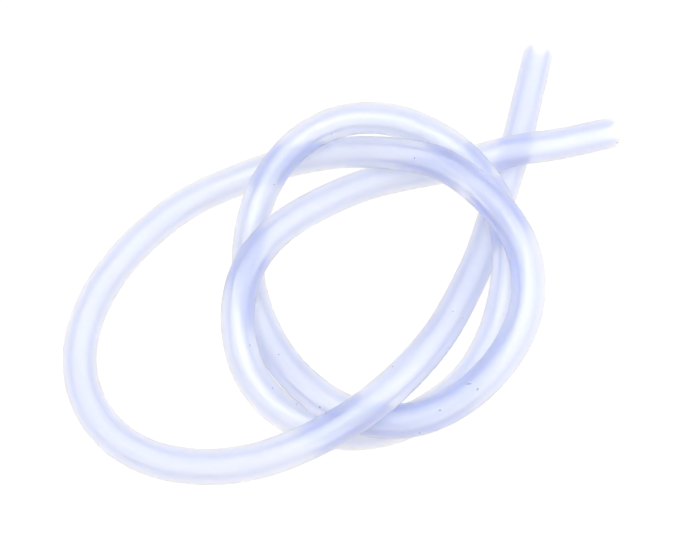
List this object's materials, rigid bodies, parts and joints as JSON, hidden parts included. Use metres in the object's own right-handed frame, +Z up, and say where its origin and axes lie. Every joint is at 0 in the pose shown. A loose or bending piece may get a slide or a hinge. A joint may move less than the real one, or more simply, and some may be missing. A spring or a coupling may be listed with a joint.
{
  "type": "silicone tubing coil",
  "caption": "Length of milky translucent silicone tubing with a round bore, lying in a loose coil with two plainly cut free ends.",
  "frame": {"origin": "on the surface the coil lies on, below the middle of its box", "axes": "+Z up from the surface; +X towards the free end that lies on top, with the wide loop at -X; +Y away from the front of the coil, towards the far free end"},
  "size_m": [0.1767, 0.1645, 0.0337],
  "materials": {
    "silicone": "smooth milky translucent silicone with a soft sheen"
  },
  "bodies": {
    "root": {"silicone_tube": "silicone"}
  },
  "joints": []
}
